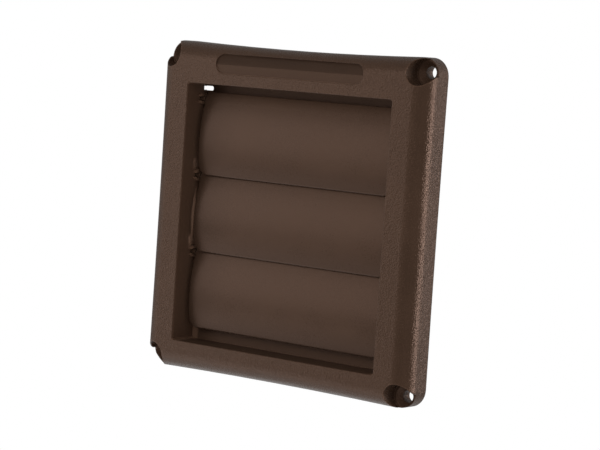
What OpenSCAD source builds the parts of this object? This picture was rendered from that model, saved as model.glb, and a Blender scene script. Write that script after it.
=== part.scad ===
// Exterior vent hood for a round duct: a rolled-edge face frame moulded in one piece with its
// recess, rear plate and duct collar, and three curved gravity louvres hanging on stub pins.
// X runs to the right, Z up and Y into the wall. Y = 0 is the wall face, and the origin is on
// the axis of the duct.

/* [Face frame] */
// Outside size of the square face, across the corners
face_size = 152.4; // [144:0.2:170]
// How far the face stands off the wall
face_depth = 15.8; // [14.5:0.1:22]
// Radius of the rolled outer edge
edge_round = 8.2; // [5:0.1:8.2]
// Radius of the four corners, seen from the front
corner_round = 8.3; // [8.3:0.1:9.5]
// Wall of the face frame
wall = 2; // [1.8:0.1:2.6]
// Slant of the top side's ends in degrees, as it bows inward to its middle
bow_top = 2.1; // [0.2:0.05:2.5]
// Slant of the bottom side's ends, in degrees
bow_bottom = 1.25; // [0.2:0.05:2.5]
// Slant of the left and right sides' ends, in degrees
bow_side = 0.5; // [0.2:0.05:2.5]

/* [Recess] */
// Width of the recess that holds the louvres
recess_w = 116.6; // [110:0.2:122]
// Height of the recess
recess_h = 119.6; // [114:0.2:122]
// How far the middle of the recess lies below the middle of the face
recess_drop = 2.85; // [0:0.05:4]
// Radius of the corners of the recess
recess_round = 1; // [0.6:0.1:3]
// Radius of the front edge of the recess
lip_round = 0.5; // [0.2:0.1:1]

/* [Rear plate and duct collar] */
// Thickness of the plate round the duct
plate_t = 1.4; // [1.2:0.1:1.8]
// Outside diameter of the collar that the duct slides over
collar_d = 100; // [90:0.5:104]
// Wall of the collar
collar_wall = 1.8; // [1.4:0.1:3]
// How far the collar reaches behind the wall face
collar_len = 25; // [15:0.5:32]
// Lead-in chamfer at the end of the collar
collar_lead = 0.8; // [0.4:0.1:1.2]

/* [Louvres] */
// Thickness of a louvre blade
blade_t = 1.2; // [1:0.05:1.4]
// Radius of the front of a blade
blade_r = 68; // [60:1:90]
// Gap above the top louvre
top_gap = 3.75; // [3:0.05:6]
// Gap below the bottom louvre
bottom_gap = 5.95; // [4:0.05:9]
// How far each louvre laps over the one below it
lap = 2.95; // [2.4:0.05:3.2]
// Clearance between a lip and the louvre that it laps over
lap_gap = 0.4; // [0.3:0.05:0.8]
// Gap between the end of a blade and the side of the recess
end_gap = 3.1; // [2.8:0.1:4]
// Radius of the two lower corners of a blade
lip_corner = 5; // [3:0.1:7]
// Radius of the two upper corners of a blade
top_corner = 1; // [0.5:0.1:2]
// Thickness of the web at each end of a blade
web_t = 1; // [0.8:0.1:1.6]
// How far an end web stands off the back of the blade
web_h = 1.8; // [1:0.1:2.2]
// Gap between the foot of an end web and the top edge of the louvre below
web_gap = 4; // [2:0.1:8]

/* [Pivots] */
// Diameter of a pivot pin
pin_d = 2.6; // [2.2:0.1:2.8]
// Radial clearance of a pin in its hook
pin_gap = 0.05; // [0.03:0.01:0.1]
// Distance of the pin's axis behind the front of the blade
pin_setback = 0.4; // [0.3:0.05:0.6]
// Height of the lip above the axis of the pin that it hides
pin_below_lip = 0.45; // [0.4:0.05:1]
// Clearance of a louvre's top edge to the rear plate as it swings
swing_gap = 0.6; // [0.2:0.05:0.8]
// Gap between the end of a pin and the side of the recess
pin_end_gap = 0.3; // [0.2:0.05:0.6]
// How far a hook stands in from the side of the recess
hook_w = 1.9; // [1.4:0.1:2.2]
// Wall of a hook round the pin
hook_wall = 1.25; // [1:0.05:1.4]
// Width of the slot that a pin snaps through
hook_slot = 2; // [1.6:0.1:2.1]
// Width of the foot that carries a hook on the rear plate
hook_foot = 4.4; // [3.6:0.1:4.6]
// How far a window reaches in from the side of the recess
window_in = 3.4; // [2.4:0.1:4]
// How far a window reaches out past the side of the recess
window_out = 2.3; // [2.1:0.1:3]
// Height of a window's upper edge above the pin's axis
window_top = 6; // [5.8:0.1:6.5]
// Height of a window's lower edge above the pin's axis
window_sill = 3.9; // [3.4:0.1:4.1]
// How far a window reaches off the wall face, where it cuts the side of the recess
window_deep = 4.1; // [3:0.1:4.2]
// Radius of a window's corners
window_round = 0.8; // [0.3:0.1:0.8]

/* [Wall screws] */
// Distance of the screws from the sides of the face, were they in its middle
screw_inset = 5.8; // [5.6:0.1:6]
// How far the middle of the four screws lies below the middle of the face
screw_drop = 0.65; // [0.5:0.05:0.8]
// Diameter of a screw hole
screw_d = 5.4; // [4:0.1:6]
// Diameter of the pocket round a screw head
pocket_d = 11.9; // [11.7:0.1:12]
// Height of the pocket's floor off the wall face
pocket_floor = 7; // [6:0.1:7.4]
// Depth of the countersink in the pocket's floor
sink_h = 2.2; // [1:0.1:2.6]
// Wall of a pocket
pocket_wall = 1.6; // [1.2:0.1:2.4]
// Thickness of a pocket's floor
pocket_base = 3; // [2.6:0.1:3.6]
// Wall of the stem between a pocket and the wall face
stem_wall = 1.8; // [1.2:0.1:2.4]

/* [Label recess] */
// Width of the shallow recess for a label in the top side
label_w = 84.2; // [60:0.2:96]
// Height of the label recess
label_h = 9.2; // [7:0.1:10]
// Distance of its middle from the top of the face
label_inset = 9.5; // [9:0.1:11]
// Depth of the label recess
label_deep = 0.5; // [0.3:0.05:0.8]

/* [Stiffening] */
// Thickness of a rib in the hollow back
rib_t = 1.4; // [1:0.1:2]
// How far the ribs stay clear of the wall face
rib_clear = 0.8; // [0.4:0.1:2]
// Distance between the ribs above and below the recess
rib_pitch = 36; // [28:0.5:42]
// Thickness of the rib that stops the bottom louvre
stop_t = 1.4; // [1:0.1:2]
// Length of that rib
stop_w = 100; // [60:1:106]
// Clearance between that rib and the bottom louvre
stop_gap = 0.3; // [0.2:0.05:0.6]

/* [Hidden] */
BROWN = "#524036";
DARK_BROWN = "#4b3a31";
// Number of louvres
louvres = 3;
// Overrun that joins two solids or clears a cut
e = 0.5;
// Fragments of small arcs, of the long arcs of the bowed sides and of a blade's arc
fine = 48;
bow_fine = 1440;
blade_fine = 720;
// Distance of a corner arc's middle from the middle of the face
corner_at = face_size / 2 - corner_round;
// Slants of the four sides' ends, from the right side anticlockwise
bows = [bow_side, bow_top, bow_side, bow_bottom];
// Width of the swept edge, measured in from the outline
band = 16;
// Sides, top and bottom of the recess
recess_x = recess_w / 2;
recess_top = recess_h / 2 - recess_drop;
recess_bottom = -recess_h / 2 - recess_drop;
// Distance from each louvre to the next, and the size of a louvre
pitch = (recess_h - top_gap - bottom_gap - lap) / louvres;
louvre_h = pitch + lap;
blade_x = recess_x - end_gap;
// Distance of a blade's belly below its top edge, at which its lip clears the next blade
belly = (lap + louvre_h) / 2 + (blade_t + lap_gap) * blade_r / pitch;
// Distance of the pin's axis below the top edge
pin_drop = lap + pin_below_lip;
// Angles of the top edge and of the lip's round about the axis of a blade's arc
top_angle = asin(belly / blade_r);
lip_angle = -asin((louvre_h - belly - blade_t / 2) / (blade_r - blade_t / 2));
// Reach of the top edge's back corner round the pin, and the height of the pin off the wall
reach = norm([
    pin_drop - blade_t * sin(top_angle),
    pin_setback - sag(belly) + sag(belly - pin_drop) - blade_t * cos(top_angle)
]);
pin_out = plate_t + reach + swing_gap;
// Height of the belly off the wall
belly_out = pin_out + pin_setback + sag(belly - pin_drop);
hook_r = pin_d / 2 + pin_gap + hook_wall;
screw_at = face_size / 2 - screw_inset;

// How far the front of a blade falls back at a distance d from its belly
function sag(d) = blade_r - sqrt(blade_r * blade_r - d * d);
// Heights of the top edge and of the pin of louvre k, counted from the top
function louvre_z(k) = recess_top - top_gap - k * pitch;
function pin_z(k) = louvre_z(k) - pin_drop;
// How far a side whose ends slant by an angle bows inward
function bow(angle) = corner_at * tan(angle / 2);

// Stands a front view up in the wall's frame: its y becomes Z and its z comes off the wall
module on_wall() {
    rotate([90, 0, 0]) children();
}

// Section of the rolled edge, inset all round. Its x is the distance in from the outline.
// An inset section starts below the wall face, so that it can cut.
module edge_section(inset) {
    r = edge_round - inset;
    low = inset > 0 ? -e : 0;
    difference() {
        translate([inset, low]) square([band - inset, face_depth - inset - low]);
        translate([inset, face_depth - edge_round]) difference() {
            square(r);
            translate([r, 0]) circle(r, $fn = fine);
        }
    }
}

// Moves far along X in a whole number, some thousandths and the rest, so that no digit is lost
module far_x(x) {
    whole = floor(x);
    part = floor(1000 * (x - whole)) / 1000;
    translate([whole, 0]) translate([part, 0]) translate([x - whole - part, 0]) children();
}

// Sweeps the section along the right side, whose ends slant by an angle
module side_run(angle, inset) {
    r = corner_at / sin(angle);
    far_x(corner_at + r * cos(angle))
        rotate_extrude(angle = 2 * angle, start = 180 - angle, $fn = bow_fine)
            far_x(r - corner_round) edge_section(inset);
}

// Turns the section round the upper right corner, between sides whose ends slant by b and c
module corner_run(b, c, inset) {
    translate([corner_at, corner_at, 0])
        rotate_extrude(angle = 90 + b + c, start = -b, $fn = fine) intersection() {
            translate([corner_round, 0]) mirror([1, 0]) edge_section(inset);
            translate([0, -e]) square([corner_round, face_depth + e]);
        }
}

// The whole face as a solid pillow, inset all round
module pillow(inset) {
    flat = face_size - 2 * (bow(max(bows)) + edge_round + e);
    low = inset > 0 ? -e : 0;
    for (k = [0:3]) rotate(90 * k) {
        side_run(bows[k], inset);
        corner_run(bows[k], bows[(k + 1) % 4], inset);
    }
    translate([-flat / 2, -flat / 2, low]) cube([flat, flat, face_depth - inset - low]);
}

// Rectangle with round corners, centred
module round_rect(w, h, r) {
    square([w - 2 * r, h], center = true);
    square([w, h - 2 * r], center = true);
    for (x = [-1, 1], y = [-1, 1])
        translate([x * (w / 2 - r), y * (h / 2 - r)]) circle(r, $fn = fine);
}

// Front view of the recess, grown all round
module recess_view(grow) {
    translate([0, -recess_drop])
        round_rect(recess_w + 2 * grow, recess_h + 2 * grow, recess_round + grow);
}

// One copy at each wall screw
module at_screws() {
    for (x = [-1, 1], y = [-1, 1])
        translate([x * screw_at, y * screw_at - screw_drop, 0]) children();
}

// Pocket, its floor and the stem down to the wall face
module screw_boss() {
    translate([0, 0, pocket_floor - pocket_base])
        cylinder(d = pocket_d + 2 * pocket_wall, h = face_depth, $fn = fine);
    cylinder(d = screw_d + 2 * stem_wall, h = pocket_floor, $fn = fine);
}

// Space for a wall screw and its head
module screw_space() {
    translate([0, 0, -e]) cylinder(d = screw_d, h = face_depth, $fn = fine);
    translate([0, 0, pocket_floor - sink_h])
        cylinder(d1 = screw_d, d2 = screw_d + 2 * sink_h, h = sink_h, $fn = fine);
    translate([0, 0, pocket_floor]) cylinder(d = pocket_d, h = face_depth, $fn = fine);
}

// Ribs from the recess out to the edge of the face, beside the louvres and over the duct
module back_ribs() {
    rise = face_depth - wall;
    run = face_size / 2;
    for (k = [0:louvres - 1], side = [0, 1]) mirror([side, 0, 0])
        translate([recess_x + wall / 2, pin_z(k) - (pitch + rib_t) / 2, rib_clear])
            cube([run - recess_x, rib_t, rise]);
    for (n = [-1:1]) translate([n * rib_pitch - rib_t / 2, 0, rib_clear]) {
        translate([0, recess_top + wall / 2, 0]) cube([rib_t, run - recess_top, rise]);
        translate([0, -run - wall / 2, 0]) cube([rib_t, run + recess_bottom, rise]);
    }
}

// Collar behind the plate, still solid, with its lead-in chamfer
module collar() {
    r = collar_d / 2;
    rotate_extrude($fn = 2 * fine) polygon([
        [0, -collar_len],
        [r - collar_lead, -collar_len],
        [r, -collar_len + collar_lead],
        [r, plate_t / 2],
        [0, plate_t / 2]
    ]);
}

// Bore through the collar and the plate
module duct_bore() {
    translate([0, 0, -collar_len - e])
        cylinder(r = collar_d / 2 - collar_wall, h = collar_len + plate_t + 2 * e, $fn = 2 * fine);
}

// Rib on the plate, behind the lip of the bottom louvre
module stop_rib() {
    lip_back = belly_out - sag(louvre_h - belly) - blade_t;
    translate([-stop_w / 2, louvre_z(louvres - 1) - louvre_h, plate_t / 2])
        cube([stop_w, stop_t, lip_back - stop_gap - plate_t / 2]);
}

// One copy at each pivot on the right side, and mirrored on the left side
module at_pivots() {
    for (side = [0, 1], k = [0:louvres - 1])
        mirror([side, 0, 0]) translate([recess_x, pin_z(k), 0]) children();
}

// Window through the plate and the foot of the recess wall, above a hook
module window() {
    w = window_in + window_out;
    h = window_top - window_sill;
    translate([w / 2 - window_in, window_sill + h / 2, -e])
        linear_extrude(window_deep + e) round_rect(w, h, window_round);
}

// Hook that a pin snaps into, with its foot on the rear plate
module hook() {
    rise = pin_out - plate_t / 2;
    translate([-hook_w, 0, pin_out]) difference() {
        union() {
            rotate([0, 90, 0]) cylinder(r = hook_r, h = hook_w + wall / 2, $fn = fine);
            translate([0, -hook_foot / 2, -rise]) cube([hook_w + wall / 2, hook_foot, rise]);
        }
        translate([-e, 0, 0]) rotate([0, 90, 0])
            cylinder(r = pin_d / 2 + pin_gap, h = hook_w + e, $fn = fine);
        translate([-e, -hook_slot / 2, 0]) cube([hook_w + e, hook_slot, 2 * hook_r]);
    }
}

// Section that rounds over an edge, with the sharp edge at its origin
module lip_section() {
    difference() {
        translate([-lip_round / 2, -lip_round]) square([3 * lip_round / 2, lip_round + e]);
        translate([lip_round, -lip_round]) circle(lip_round, $fn = fine);
    }
}

// Rounds over the front edge of the recess
module lip_cut() {
    for (k = [0:3]) {
        out = k % 2 == 0 ? recess_w / 2 : recess_h / 2;
        run = k % 2 == 0 ? recess_h : recess_w;
        translate([0, -recess_drop, face_depth]) rotate(90 * k)
            translate([out, run / 2 - recess_round, 0]) {
                rotate([90, 0, 0]) linear_extrude(run - 2 * recess_round) lip_section();
                translate([-recess_round, 0, 0]) rotate_extrude(angle = 90, $fn = fine)
                    translate([recess_round, 0]) lip_section();
            }
    }
}

// Shallow recess for a label, which follows the rolled edge
module label_cut() {
    difference() {
        translate([0, face_size / 2 - label_inset, face_depth / 2]) linear_extrude(face_depth) {
            square([label_w - label_h, label_h], center = true);
            for (x = [-1, 1])
                translate([x * (label_w - label_h) / 2, 0]) circle(d = label_h, $fn = fine);
        }
        rotate(90) side_run(bow_top, label_deep);
    }
}

module housing() {
    color(BROWN) on_wall() {
        difference() {
            union() {
                difference() {
                    pillow(0);
                    pillow(wall);
                }
                intersection() {
                    union() {
                        back_ribs();
                        at_screws() screw_boss();
                    }
                    pillow(wall / 4);
                }
                linear_extrude(face_depth - wall / 2) recess_view(wall);
                collar();
            }
            translate([0, 0, plate_t]) linear_extrude(face_depth) recess_view(0);
            duct_bore();
            at_screws() screw_space();
            at_pivots() window();
            lip_cut();
            label_cut();
        }
        at_pivots() hook();
        stop_rib();
    }
}

// Part of a ring between two radii and two angles, about the axis of a blade's arc.
// Its x is the height and its y the way to the front, from the pin's axis.
module arc_band(outer, inner, from, to) {
    far = 2 * blade_r;
    translate([pin_drop - belly, belly_out - pin_out - blade_r]) intersection() {
        difference() {
            circle(outer, $fn = blade_fine);
            circle(inner, $fn = blade_fine);
        }
        polygon([[0, 0], far * [sin(from), cos(from)], far * [sin(to), cos(to)]]);
    }
}

// Section of a blade, with its round lip
module blade_section() {
    mid = blade_r - blade_t / 2;
    arc_band(blade_r, blade_r - blade_t, lip_angle, top_angle);
    translate([pin_drop - belly, belly_out - pin_out - blade_r])
        translate(mid * [sin(lip_angle), cos(lip_angle)]) circle(d = blade_t, $fn = fine);
}

// Section of an end web, from behind the pin down to a foot above the next louvre
module web_section() {
    back = blade_r - blade_t;
    foot = belly - pitch + web_gap;
    head = belly - pin_drop + pin_d / 2;
    arc_band(blade_r - blade_t / 2, back - web_h, asin(foot / back), asin(head / back));
}

// Runs a section along X, centred
module along_x(w) {
    rotate([90, 0, 90]) linear_extrude(w, center = true) children();
}

// Front view of a blade, past its lip and its top edge but with its four round corners
module blade_view() {
    low = pin_drop - louvre_h;
    for (side = [0, 1]) mirror([side, 0]) {
        translate([-e, low - e]) square([blade_x - lip_corner + e, louvre_h + 2 * e]);
        translate([0, low + lip_corner]) {
            square([blade_x - top_corner, louvre_h - lip_corner + e]);
            square([blade_x, louvre_h - lip_corner - top_corner]);
            translate([blade_x - lip_corner, 0]) circle(lip_corner, $fn = fine);
        }
        translate([blade_x - top_corner, pin_drop - top_corner]) circle(top_corner, $fn = fine);
    }
}

// Louvre k, counted from the top, hanging on its two pins
module louvre(k) {
    stub = end_gap - pin_end_gap;
    color(DARK_BROWN) on_wall() translate([0, pin_z(k), pin_out]) {
        intersection() {
            along_x(recess_w) blade_section();
            linear_extrude(2 * blade_r, center = true) blade_view();
        }
        for (side = [-1, 1]) {
            translate([side * (blade_x - web_t / 2), 0, 0]) along_x(web_t) web_section();
            translate([side * (blade_x + stub / 2), 0, 0])
                rotate([0, 90, 0]) cylinder(d = pin_d, h = stub, center = true, $fn = fine);
        }
    }
}

module louvre_top() {
    louvre(0);
}

module louvre_middle() {
    louvre(1);
}

module louvre_bottom() {
    louvre(2);
}

housing();
louvre_top();
louvre_middle();
louvre_bottom();
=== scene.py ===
import bpy
import math
from mathutils import Matrix, Vector

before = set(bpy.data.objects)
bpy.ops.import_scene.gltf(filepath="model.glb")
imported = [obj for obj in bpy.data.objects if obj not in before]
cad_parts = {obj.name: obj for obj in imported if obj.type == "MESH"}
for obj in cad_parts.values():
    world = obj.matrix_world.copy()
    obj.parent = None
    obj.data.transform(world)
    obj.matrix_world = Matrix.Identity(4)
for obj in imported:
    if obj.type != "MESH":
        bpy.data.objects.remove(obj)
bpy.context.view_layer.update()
scene = bpy.context.scene
scene.view_settings.view_transform = "Standard"
MM = 0.001

# The camera, fitted to the photograph: its right, up and back directions, its place in millimetres,
# and its focal length as a share of the picture's width
RIGHT = (0.780478, 0.621524, 0.067545)
UP = (-0.102487, 0.020617, 0.994521)
BACK = (0.616726, -0.783124, 0.079789)
EYE = (643.495, -816.546, 79.772)
FOCAL = 2302.906 / 600.0
SENSOR = 36.0

lens = bpy.data.cameras.new("camera")
lens.sensor_fit = "HORIZONTAL"
lens.sensor_width = SENSOR
lens.lens = SENSOR * FOCAL
lens.clip_start = 0.01
lens.clip_end = 50.0
camera = bpy.data.objects.new("camera", lens)
scene.collection.objects.link(camera)
camera.matrix_world = Matrix((
    (RIGHT[0], UP[0], BACK[0], EYE[0] * MM),
    (RIGHT[1], UP[1], BACK[1], EYE[1] * MM),
    (RIGHT[2], UP[2], BACK[2], EYE[2] * MM),
    (0, 0, 0, 1)))
scene.camera = camera

# The plastic's sRGB colour, and factors for its painted light and its painted shade
PLASTIC = (76, 57, 45)
PAINTED_LIGHT = 2.2
PAINTED_SHADE = 0.5

# Scales of its noises
MOTTLE = 38
GRAIN = 1500
GLINT = 2300

# How high its grain stands and how wide its edges are softened and painted light, in millimetres
GRAIN_HEIGHT = 0.3
EDGE = 0.45
HIGHLIGHT_WIDTH = 0.9

# The label recess, in millimetres: the height of its middle, half the length between the middles of
# its round ends, their radius, and the height above which its shading leans back
LABEL_Z = 66.7
LABEL_X = 37.5
LABEL_R = 4.6
LABEL_FOLD = 66.2

# The recess of the louvres, 0.05 mm past its walls: half its width and height, how far its middle
# is below the origin, and how far out its sides get painted light
RECESS_X = 58.35
RECESS_Z = 59.85
RECESS_DROP = 2.85
LIGHT_X = 54.5

# Depths from which the lower rim of the label recess gets painted light, and at which the painted
# edge highlights and the label recess's painted shade and smoothness start to fade out. The front
# is at -15.8.
RIM_Y = -15.78
HIGHLIGHT_Y = -10
LABEL_Y = -9

# Edges sharper than this many degrees stay sharp, and points nearer than this, in millimetres, join
SHARP = 32
WELD = 0.002

# The floor, in metres: its height, well below the hood that hangs on a wall, and half its width
FLOOR = -1.3
FLOOR_HALF = 1.8

# The colours of the surroundings, how bright the room is against its white, and how far off its
# lamps stand, in metres
PAPER = (0.8, 0.8, 0.8, 1.0)
WHITE = (1.0, 1.0, 1.0, 1.0)
ROOM = 0.31
LAMP_DISTANCE = 1.5


class Net:
    """A node tree with short calls. An input is a value or another node's output."""

    def __init__(self, tree):
        self.tree = tree
        tree.nodes.clear()

    def node(self, kind, inputs=None, **settings):
        n = self.tree.nodes.new(kind)
        for key, value in settings.items():
            setattr(n, key, value)
        for key, value in (inputs or {}).items():
            if isinstance(value, bpy.types.NodeSocket):
                self.tree.links.new(value, n.inputs[key])
            else:
                n.inputs[key].default_value = value
        return n

    def math(self, operation, a, b=0.0):
        return self.node("ShaderNodeMath", {0: a, 1: b}, operation=operation).outputs[0]

    def times(self, a, b):
        return self.math("MULTIPLY", a, b)

    def largest(self, first, *others):
        for other in others:
            first = self.math("MAXIMUM", first, other)
        return first

    def distance(self, value, middle):
        return self.math("ABSOLUTE", self.math("SUBTRACT", value, middle))

    def remap(self, value, start, end, low, high):
        inputs = {0: value, 1: start, 2: end, 3: low, 4: high}
        return self.node("ShaderNodeMapRange", inputs).outputs[0]

    def step(self, value, start, end, low=0.0, high=1.0):
        """As remap, from low to high between two places in millimetres."""
        return self.remap(value, start * MM, end * MM, low, high)

    def noise(self, place, scale, detail, rough, distortion=0.0):
        inputs = {"Vector": place, "Scale": scale, "Detail": detail, "Roughness": rough,
                  "Distortion": distortion}
        return self.node("ShaderNodeTexNoise", inputs).outputs["Fac"]

    def mix(self, share, a, b):
        return self.node("ShaderNodeMix", {0: share, 6: a, 7: b}, data_type="RGBA").outputs[2]

    def split(self, vector):
        return self.node("ShaderNodeSeparateXYZ", {0: vector}).outputs

    def vector(self, operation, a, b=(0.0, 0.0, 0.0)):
        return self.node("ShaderNodeVectorMath", {0: a, 1: b}, operation=operation).outputs

    def bevel(self, radius):
        return self.node("ShaderNodeBevel", {"Radius": radius * MM}, samples=6).outputs[0]


def linear(channel):
    """A channel of an sRGB colour, 0 to 1, as light."""
    return channel / 12.92 if channel <= 0.04045 else ((channel + 0.055) / 1.055) ** 2.4


def tone(factor):
    """The plastic's colour, lighter or darker by a factor."""
    return (*(linear(channel / 255) * factor for channel in PLASTIC), 1.0)


def plastic(name, rough):
    """Starts a material of moulded plastic: mottled, with painted glint specks, and a little uneven
    in its gloss.
    """
    mat = bpy.data.materials.new(name)
    mat.use_nodes = True
    net = Net(mat.node_tree)
    place = net.node("ShaderNodeTexCoord").outputs
    mottle = net.noise(place["Object"], MOTTLE, 3, 0.55, 0.4)
    glint = net.noise(place["Object"], GLINT, 2, 0.6)
    grain = net.noise(place["Object"], GRAIN, 1, 0.5)
    colour = net.mix(net.remap(mottle, 0.35, 0.65, 0.0, 1.0), tone(0.94), tone(1.06))
    # Painted glints: random specks of lighter colour
    colour = net.mix(net.remap(glint, 0.62, 0.74, 0.0, 0.08), colour, tone(PAINTED_LIGHT))
    roughness = net.math("ADD", net.remap(mottle, 0.3, 0.7, rough - 0.03, rough + 0.03),
                         net.remap(grain, 0.3, 0.7, -0.03, 0.03))
    return mat, net, place, colour, roughness, grain


def skin(net, colour, roughness, grain, strength, normal):
    """Joins up the plastic, with its grain in the bump."""
    bump = net.node("ShaderNodeBump", {"Strength": strength, "Distance": GRAIN_HEIGHT * MM,
                                       "Height": grain, "Normal": normal})
    base = net.node("ShaderNodeBsdfPrincipled", {
        "Base Color": colour, "Roughness": roughness, "Specular IOR Level": 0.3,
        "Specular Tint": (1.0, 0.6, 0.44, 1.0), "Normal": bump.outputs[0]})
    net.node("ShaderNodeOutputMaterial", {0: base.outputs[0]})


def hood_plastic():
    """Grained outside, smooth in its two recesses, with a painted highlight along the front's
    edges.
    """
    mat, net, place, colour, roughness, grain = plastic("hood_plastic", 0.27)
    x, y, z = net.split(place["Object"])
    aside = net.math("ABSOLUTE", x)

    # How far a point is from the label recess's middle line, whether it is in that recess, and
    # whether it is in the upper half
    beyond = net.largest(net.math("SUBTRACT", aside, LABEL_X * MM), 0.0)
    above = net.math("SUBTRACT", z, LABEL_Z * MM)
    away = net.math("SQRT", net.math("ADD", net.times(beyond, beyond), net.times(above, above)))
    label = net.times(net.step(away, LABEL_R - 0.1, LABEL_R, 1.0, 0.0),
                      net.step(y, LABEL_Y, LABEL_Y + 1, 1.0, 0.0))
    upper = net.times(label, net.step(z, LABEL_FOLD, LABEL_FOLD + 0.3))

    # Whether it is in the recess of the louvres, or in either recess
    past_x = net.math("SUBTRACT", aside, RECESS_X * MM)
    past_z = net.math("SUBTRACT", net.distance(z, -RECESS_DROP * MM), RECESS_Z * MM)
    well = net.step(net.largest(past_x, past_z), -0.02, 0.02, 1.0, 0.0)
    smooth = net.largest(label, well)

    # Edges towards the front get a painted highlight, apart from the label recess's own
    flat = net.node("ShaderNodeNewGeometry").outputs["Normal"]
    turn = net.vector("DOT_PRODUCT", net.bevel(HIGHLIGHT_WIDTH), flat)["Value"]
    edge_highlight = net.times(net.remap(turn, 0.98, 0.8, 0.0, 0.8),
                       net.step(y, HIGHLIGHT_Y, HIGHLIGHT_Y + 2, 1.0, 0.0))
    edge_highlight = net.times(edge_highlight, net.step(away, LABEL_R + 0.2, LABEL_R + 1.2))
    colour = net.mix(edge_highlight, colour, tone(PAINTED_LIGHT))

    # The label recess gets painted shade, its upper half most. Its lower rim gets painted light,
    # and so do the sides of the louvres' recess.
    colour = net.mix(net.times(upper, 0.5), colour, tone(PAINTED_SHADE))
    colour = net.mix(net.times(label, 0.15), colour, tone(PAINTED_SHADE))
    rim_light = net.times(net.step(net.distance(away, LABEL_R * MM), 0.1, 0.4, 0.85, 0.0),
                    net.times(net.step(y, RIM_Y, RIM_Y + 0.08),
                              net.step(z, LABEL_FOLD - 0.1, LABEL_FOLD + 0.3, 1.0, 0.0)))
    colour = net.mix(rim_light, colour, tone(PAINTED_LIGHT))
    side_light = net.times(well, net.step(aside, LIGHT_X, LIGHT_X + 1, 0.0, 0.9))
    colour = net.mix(side_light, colour, tone(PAINTED_LIGHT))

    # The upper half of the label recess leans back, a slope too slight for the solid
    tilt = net.node("ShaderNodeCombineXYZ", {2: net.times(upper, 0.4)}).outputs[0]
    normal = net.vector("NORMALIZE", net.vector("ADD", net.bevel(EDGE), tilt)[0])[0]
    roughness = net.math("ADD", roughness, net.times(smooth, 0.25))
    strength = net.times(net.remap(smooth, 0.0, 1.0, 1.0, 0.12), 0.7)
    skin(net, colour, roughness, grain, strength, normal)
    return mat


def louvre_plastic():
    """Nearly smooth, with painted shade towards the lip and a painted shadow towards the left end.
    """
    mat, net, place, colour, roughness, grain = plastic("louvre_plastic", 0.3)
    along, _, up = net.split(place["Generated"])
    # Painted shade towards the lip, and a painted shadow from the left wall towards the left end
    lip_shade = net.remap(up, 0.25, 0.02, 0.0, 0.6)
    end = net.remap(along, 0.22, 0.0, 0.0, 0.75)
    colour = net.mix(net.largest(lip_shade, end), colour, tone(PAINTED_SHADE))
    skin(net, colour, roughness, grain, 0.1, net.bevel(EDGE))
    return mat


# The CAD nodes, dressed, and shaded smooth up to their sharp edges
HOOD = hood_plastic()
BLADE = louvre_plastic()
for name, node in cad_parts.items():
    mesh = node.data
    mesh.materials.clear()
    mesh.materials.append(HOOD if name == "housing" else BLADE)
    mesh.shade_smooth()
    weld = node.modifiers.new("weld", "WELD")
    weld.merge_threshold = WELD * MM
    split = node.modifiers.new("split", "EDGE_SPLIT")
    split.split_angle = math.radians(SHARP)
    even = node.modifiers.new("even", "WEIGHTED_NORMAL")
    even.keep_sharp = True


def pale(name):
    """A surface that the camera and reflections see as white paper, still with its shadow."""
    mat = bpy.data.materials.new(name)
    mat.use_nodes = True
    net = Net(mat.node_tree)
    path = net.node("ShaderNodeLightPath").outputs
    seen = net.largest(path["Is Camera Ray"], path["Is Glossy Ray"], path["Is Transmission Ray"])
    paper = net.node("ShaderNodeBsdfDiffuse", {"Color": PAPER})
    glow = net.node("ShaderNodeEmission", {"Color": WHITE, "Strength": 1.0})
    blend = net.node("ShaderNodeMixShader", {0: net.times(seen, 0.97), 1: paper.outputs[0],
                                             2: glow.outputs[0]})
    net.node("ShaderNodeOutputMaterial", {0: blend.outputs[0]})
    return mat


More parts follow.
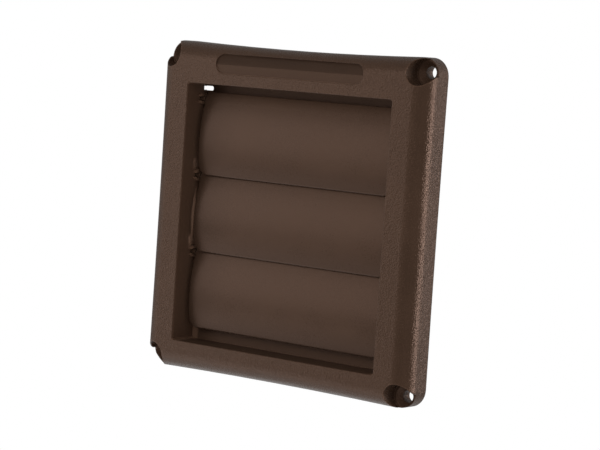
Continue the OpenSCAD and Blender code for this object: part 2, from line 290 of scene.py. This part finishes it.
corners = [(x * FLOOR_HALF, y * FLOOR_HALF, FLOOR) for x, y in ((-1, -1), (1, -1), (1, 1), (-1, 1))]
mesh = bpy.data.meshes.new("floor")
mesh.from_pydata(corners, [], [(0, 1, 2, 3)])
mesh.materials.append(pale("pale"))
floor = bpy.data.objects.new("floor", mesh)
scene.collection.objects.link(floor)

# A white backdrop all round for the camera, and behind the hood for reflections. The room itself
# is dim.
world = bpy.data.worlds.new("world")
scene.world = world
world.use_nodes = True
sky = Net(world.node_tree)
path = sky.node("ShaderNodeLightPath").outputs
_, aim, _ = sky.split(sky.node("ShaderNodeTexCoord").outputs["Generated"])
behind = sky.remap(aim, 0.85, 1.0, 0.0, 1.0)
shine = sky.largest(path["Is Glossy Ray"], path["Is Transmission Ray"])
seen = sky.largest(path["Is Camera Ray"], sky.times(shine, behind))
room = sky.node("ShaderNodeBackground", {"Color": WHITE, "Strength": ROOM})
white = sky.node("ShaderNodeBackground", {"Color": WHITE, "Strength": 1.0})
both = sky.node("ShaderNodeMixShader", {0: seen, 1: room.outputs[0], 2: white.outputs[0]})
sky.node("ShaderNodeOutputWorld", {0: both.outputs[0]})


def lamp(name, azimuth, elevation, width, height, power):
    """A soft box that faces the hood. Azimuth 0 is straight in front and 90 is to the right."""
    data = bpy.data.lights.new(name, "AREA")
    data.shape = "RECTANGLE"
    data.size = width
    data.size_y = height
    data.energy = power
    obj = bpy.data.objects.new(name, data)
    scene.collection.objects.link(obj)
    a, h = math.radians(azimuth), math.radians(elevation)
    aim = Vector((math.sin(a) * math.cos(h), -math.cos(a) * math.cos(h), math.sin(h)))
    obj.location = aim * LAMP_DISTANCE
    obj.rotation_euler = obj.location.to_track_quat("Z", "Y").to_euler()
    return obj


lamp("key", -38, 8, 0.8, 0.7, 2.6)
lamp("left", -58, 0, 1.0, 1.2, 2.2)
lamp("left_low", -55, -30, 0.8, 0.8, 2.6)
lamp("front", 5, 25, 0.6, 0.6, 3.9)
lamp("fill", 50, 5, 0.5, 1.0, 0.6)
lamp("rim_light", 112, 5, 0.2, 1.0, 6.5)
# The bright line down the right edge, in the gloss alone
lamp("shine", 119, 10, 0.6, 1.6, 19.0).visible_diffuse = False
